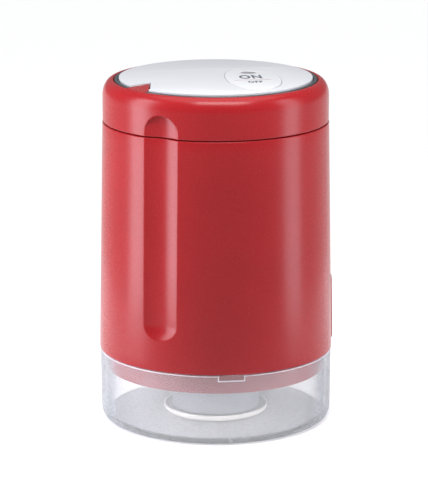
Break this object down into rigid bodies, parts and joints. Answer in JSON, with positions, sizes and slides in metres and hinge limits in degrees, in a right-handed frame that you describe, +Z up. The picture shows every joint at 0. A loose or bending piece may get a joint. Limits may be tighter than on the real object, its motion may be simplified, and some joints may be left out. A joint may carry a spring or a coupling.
{
  "type": "handheld vacuum bag sealer",
  "caption": "Cylindrical handheld vacuum bag sealer with a grip groove and top rocker key, standing on a frosted storage cup.",
  "frame": {"origin": "centre of the underside of the stand cup", "axes": "+Z up along the cylinder, -Y towards the front, where the cup's thumb notch is, +X to the user's right"},
  "size_m": [0.0806, 0.08, 0.1188],
  "materials": {
    "cup_frosted": "frosted translucent polypropylene, smooth outside",
    "shell_red": "red moulded ABS, satin gloss",
    "jack_red": "soft red rubber",
    "bezel_dark": "dark grey moulded trim",
    "plate_pale": "pale silver-white gloss panel",
    "lens_clear": "clear light pipe over an unlit diode",
    "nozzle_grey": "grey moulded nylon",
    "gasket_white": "white food-grade silicone",
    "filter_felt": "white felt",
    "nylon_natural": "natural acetal",
    "plastic_black": "black moulded plastic",
    "rubber_black": "black nitrile rubber",
    "steel": "bright steel",
    "brass": "machined brass",
    "board_green": "glass-fibre circuit board",
    "cell_blue": "lithium cell in a shrink sleeve"
  },
  "bodies": {
    "cup": {"stand_cup": "cup_frosted"},
    "main": {"body_shell": "shell_red", "top_cap": "shell_red", "bezel_ring": "bezel_dark", "top_plate": "plate_pale", "status_led": "lens_clear", "base_plate": "nozzle_grey", "suction_nozzle": "nozzle_grey", "nozzle_gasket": "gasket_white", "inlet_filter": "filter_felt", "valve_plate": "nylon_natural", "exhaust_silencer": "nylon_natural", "pump_frame": "nylon_natural", "jack_socket": "plastic_black", "rocker_switch": "plastic_black", "motor_end_cap": "plastic_black", "battery_holder_left": "plastic_black", "battery_holder_right": "plastic_black", "motor_magnet_left": "plastic_black", "motor_magnet_right": "plastic_black", "nozzle_o_ring": "rubber_black", "intake_valve": "rubber_black", "exhaust_valve": "rubber_black", "rocker_pivot_pin": "steel", "cylinder": "steel", "motor_can": "steel", "board_screw_1": "steel", "board_screw_2": "steel", "board_screw_3": "steel", "base_screw_1": "steel", "base_screw_2": "steel", "base_screw_3": "steel", "nozzle_screw_1": "steel", "nozzle_screw_2": "steel", "nozzle_screw_3": "steel", "cylinder_screw_1": "steel", "cylinder_screw_2": "steel", "frame_screw_1": "steel", "frame_screw_2": "steel", "motor_screw_1": "steel", "motor_screw_2": "steel", "control_board": "board_green", "battery_cell_left": "cell_blue", "battery_cell_right": "cell_blue"},
    "rocker": {"rocker_key": "plate_pale", "key_lens": "lens_clear"},
    "jack_flap": {"jack_cover": "jack_red"},
    "crank": {"crank_gear": "nylon_natural", "crank_axle": "steel", "crank_pin": "steel"},
    "rotor": {"motor_shaft": "steel", "armature": "steel", "commutator": "brass", "pinion": "brass"},
    "piston": {"piston_rod": "nylon_natural", "piston_cup_seal": "rubber_black"}
  },
  "joints": [
    {"name": "body_lift", "type": "slide", "parent": "cup", "child": "main", "axis": [0, 0, 1], "range_m": [0, 0.035]},
    {"name": "rocker_tilt", "type": "hinge", "parent": "main", "child": "rocker", "pos_m": [0.0119, -0.006, 0.1146], "axis": [1, 0, 0], "range_deg": [-3, 3], "stiffness_Nm_per_rad": 0.08},
    {"name": "jack_cover_open", "type": "hinge", "parent": "main", "child": "jack_flap", "pos_m": [0.03927, 0.00907, 0.0259], "axis": [-0.225, 0.9744, 0], "range_deg": [0, 95], "stiffness_Nm_per_rad": 0.005},
    {"name": "crank_spin", "type": "hinge", "parent": "main", "child": "crank", "pos_m": [0, 0, 0.064], "axis": [0, 1, 0], "continuous": true},
    {"name": "motor_spin", "type": "hinge", "parent": "main", "child": "rotor", "pos_m": [0, 0, 0.0784], "axis": [0, 1, 0], "continuous": true},
    {"name": "piston_stroke", "type": "slide", "parent": "main", "child": "piston", "axis": [0, 0, 1], "range_m": [-0.003, 0.003]}
  ],
  "couplings": [
    {"joint": "crank_spin", "follows": "motor_spin", "ratio": -0.33333}
  ]
}
